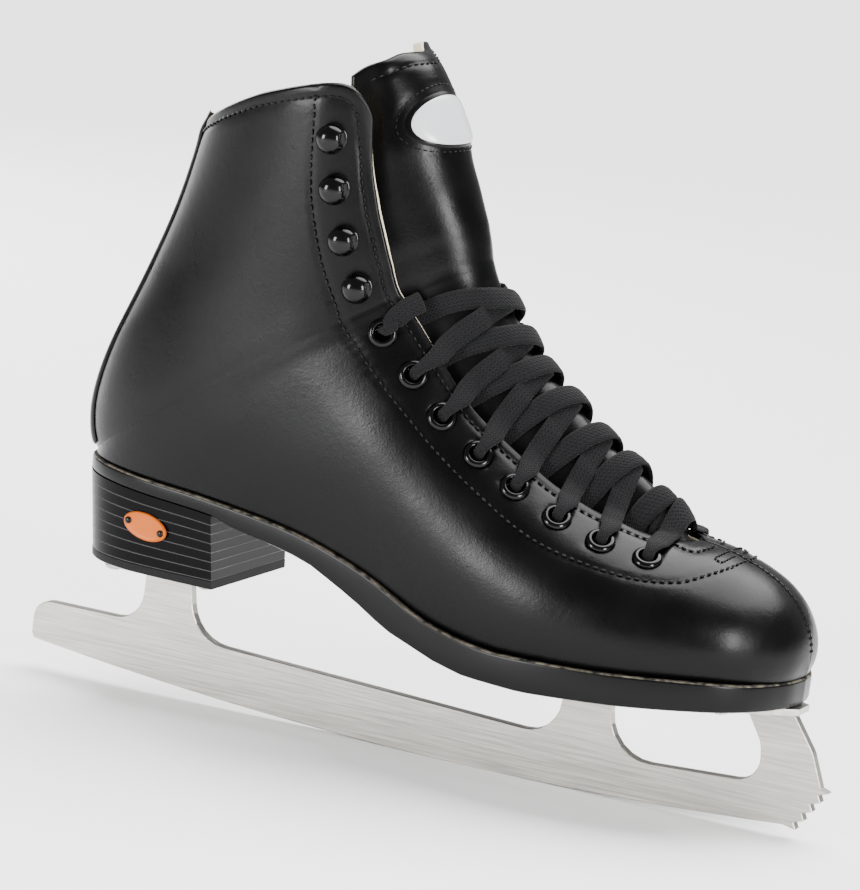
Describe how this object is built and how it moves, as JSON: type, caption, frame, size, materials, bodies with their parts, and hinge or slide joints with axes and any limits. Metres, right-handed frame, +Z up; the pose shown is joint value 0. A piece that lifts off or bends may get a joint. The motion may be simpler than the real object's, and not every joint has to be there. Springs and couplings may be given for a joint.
{
  "type": "figure skate",
  "caption": "Right-foot figure skate: lace-up leather boot with padded flexing tongue and stacked heel, screwed to a steel blade with a toe pick.",
  "frame": {"origin": "on the ice plane, in the middle of the skate's overall length and width, under the blade", "axes": "+X toward the toe, +Y toward the skater's left (the inner side of this right foot), +Z up"},
  "size_m": [0.2998, 0.092, 0.2388],
  "materials": {
    "leather": "smooth black full-grain leather, semi-gloss",
    "lining": "cream lining leather, matt",
    "board": "brown fibreboard",
    "footbed": "grey covered foam",
    "cork": "pressed cork",
    "sole": "sole leather and leather board, black satin edge finish",
    "steel": "brushed stainless steel",
    "screw": "plain steel",
    "black_metal": "glossy black enamel",
    "lace": "flat black woven cotton-polyester",
    "badge_white": "plain white, glossy",
    "badge_copper": "copper-orange metallic",
    "clear_tip": "black plastic lace tip"
  },
  "bodies": {
    "boot": {"blade_runner": "steel", "toe_plate": "steel", "heel_plate": "steel", "shank": "steel", "toe_plate_screw_1": "screw", "toe_plate_screw_2": "screw", "toe_plate_screw_3": "screw", "toe_plate_screw_4": "screw", "toe_plate_screw_5": "screw", "heel_plate_screw_1": "screw", "heel_plate_screw_2": "screw", "heel_plate_screw_3": "screw", "heel_plate_screw_4": "screw", "heel_badge_pin_1": "screw", "heel_badge_pin_2": "screw", "outsole": "sole", "heel_block": "sole", "heel_top_lift": "sole", "heel_badge": "badge_copper", "insole_board": "board", "footbed": "footbed", "cork_filler": "cork", "quarter_right": "leather", "quarter_left": "leather", "backstay_piping": "leather", "tongue_lower": "leather", "lining": "lining", "toe_puff": "board", "heel_counter": "board", "eyelet_right_1": "black_metal", "eyelet_right_2": "black_metal", "eyelet_right_3": "black_metal", "eyelet_right_4": "black_metal", "eyelet_right_5": "black_metal", "eyelet_right_6": "black_metal", "eyelet_right_7": "black_metal", "eyelet_right_8": "black_metal", "eyelet_left_1": "black_metal", "eyelet_left_2": "black_metal", "eyelet_left_3": "black_metal", "eyelet_left_4": "black_metal", "eyelet_left_5": "black_metal", "eyelet_left_6": "black_metal", "eyelet_left_7": "black_metal", "eyelet_left_8": "black_metal", "hook_right_1": "black_metal", "hook_right_2": "black_metal", "hook_right_3": "black_metal", "hook_right_4": "black_metal", "hook_left_1": "black_metal", "hook_left_2": "black_metal", "hook_left_3": "black_metal", "hook_left_4": "black_metal", "lace": "lace", "lace_end_right": "lace", "lace_end_left": "lace", "aglet_right": "clear_tip", "aglet_left": "clear_tip"},
    "tongue_top": {"tongue_upper": "leather", "tongue_badge": "badge_white"}
  },
  "joints": [
    {"name": "tongue_flex", "type": "hinge", "parent": "boot", "child": "tongue_top", "pos_m": [-0.004, 0, 0.172], "axis": [0, -1, 0], "range_deg": [0, 15]}
  ]
}
